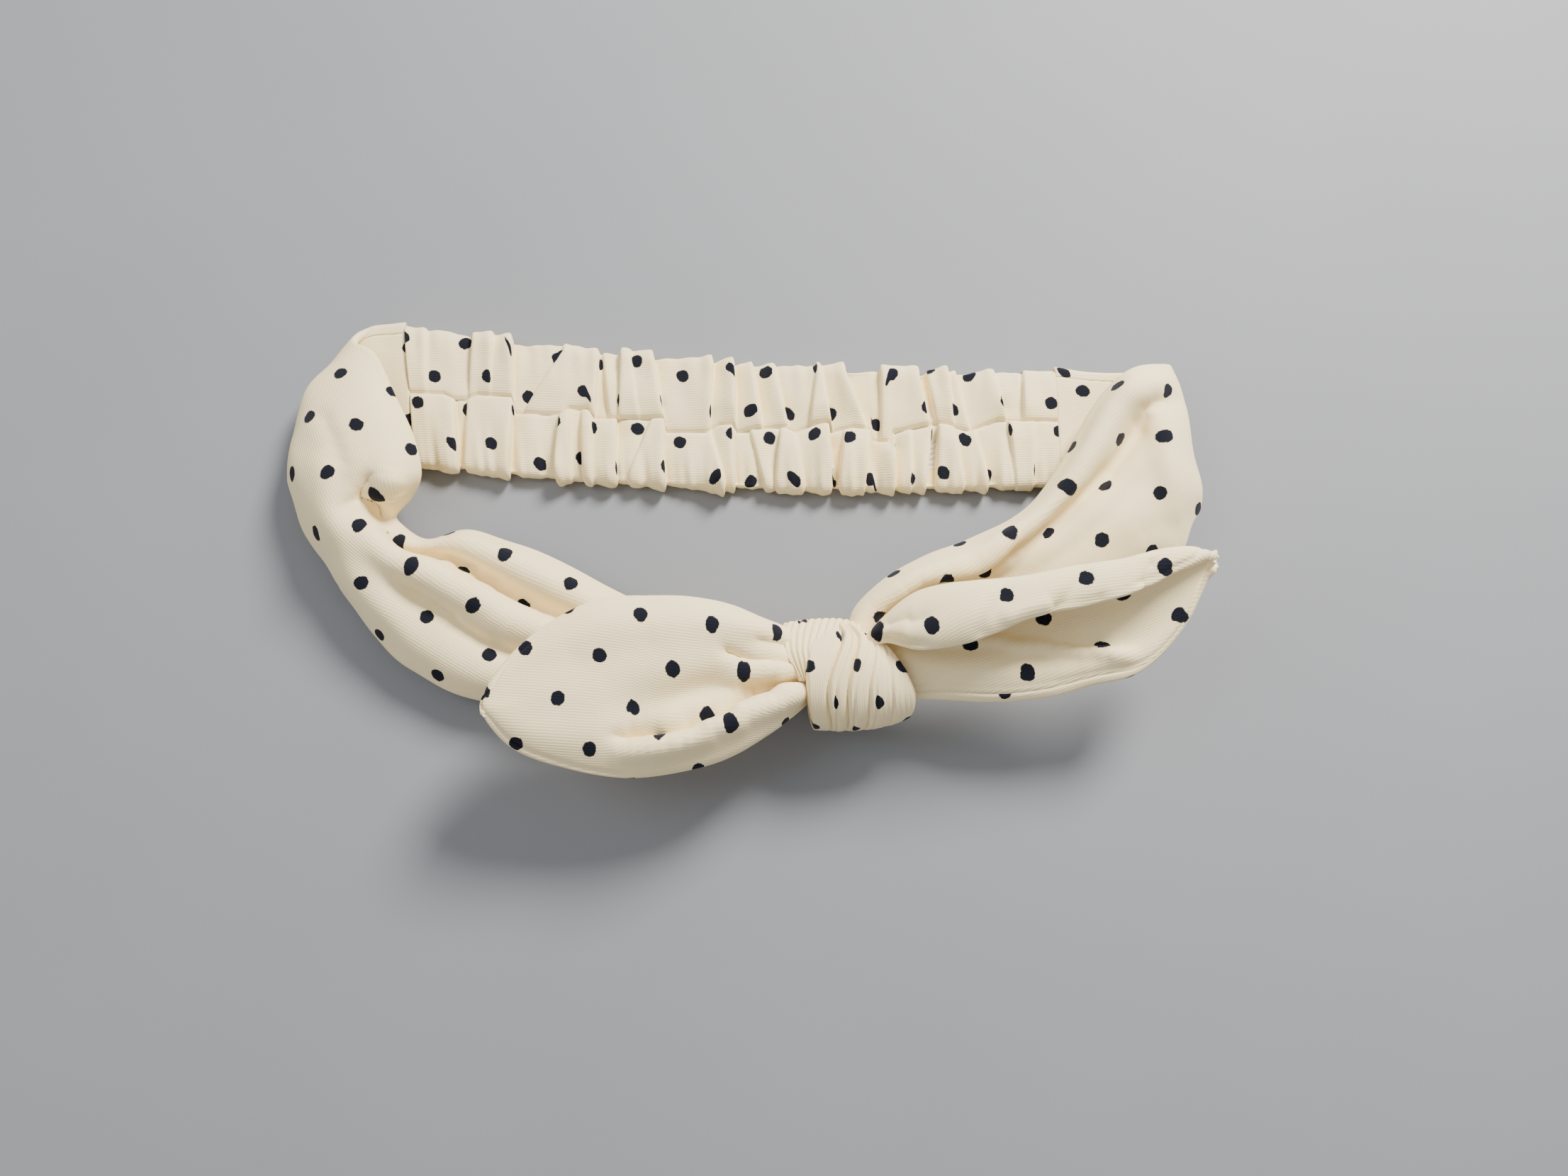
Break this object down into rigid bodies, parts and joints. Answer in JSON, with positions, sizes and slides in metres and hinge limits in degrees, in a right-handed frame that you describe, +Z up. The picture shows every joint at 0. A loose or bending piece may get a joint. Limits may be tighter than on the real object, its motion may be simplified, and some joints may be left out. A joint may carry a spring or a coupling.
{
  "type": "knotted headband",
  "caption": "Soft headband: a gathered elastic casing behind and a sash tied in front into a knot with two pointed ears.",
  "frame": {"origin": "centre of the box around the headband, on the surface it lies on", "axes": "+Z up from the surface, +X along the casing to the wearer's knot side with the short strap, +Y from the knot to the casing"},
  "size_m": [0.2566, 0.1343, 0.0399],
  "materials": {
    "cotton_jersey": "fine ribbed cotton knit, cream with small navy dots",
    "jersey_lining": "inner side of the cream cotton knit",
    "sewing_thread": "matte cream thread",
    "knitted_elastic": "white ribbed elastic"
  },
  "bodies": {
    "band": {"casing_tube": "cotton_jersey", "casing_seam_thread": "sewing_thread", "elastic_band": "knitted_elastic", "elastic_tack_left": "sewing_thread", "join_seam_left": "sewing_thread", "left_strap_outer": "cotton_jersey", "left_strap_lining": "jersey_lining", "left_strap_edge_seam": "sewing_thread", "knot_core": "cotton_jersey", "knot_wrap": "cotton_jersey", "knot_under_wrap": "cotton_jersey"},
    "right_side": {"elastic_tack_right": "sewing_thread", "join_seam_right": "sewing_thread", "right_strap_outer": "cotton_jersey", "right_strap_lining": "jersey_lining", "right_strap_edge_seam": "sewing_thread"},
    "left_ear": {"left_ear_outer": "cotton_jersey", "left_ear_lining": "jersey_lining", "left_ear_edge_seam": "sewing_thread"},
    "right_ear": {"right_ear_outer": "cotton_jersey", "right_ear_lining": "jersey_lining", "right_ear_edge_seam": "sewing_thread"}
  },
  "joints": [
    {"name": "elastic_stretch", "type": "slide", "parent": "band", "child": "right_side", "axis": [1, 0, 0], "range_m": [0, 0.03], "stiffness_N_per_m": 60, "deforming": ["casing_tube", "casing_seam_thread", "elastic_band", "right_strap_outer", "right_strap_lining", "right_strap_edge_seam"]},
    {"name": "left_ear_lift", "type": "hinge", "parent": "band", "child": "left_ear", "pos_m": [0.0136, -0.038, 0.027], "axis": [0, 1, 0], "range_deg": [0, 60]},
    {"name": "right_ear_lift", "type": "hinge", "parent": "band", "child": "right_ear", "pos_m": [0.0386, -0.036, 0.028], "axis": [0, -1, 0], "range_deg": [0, 60]}
  ]
}
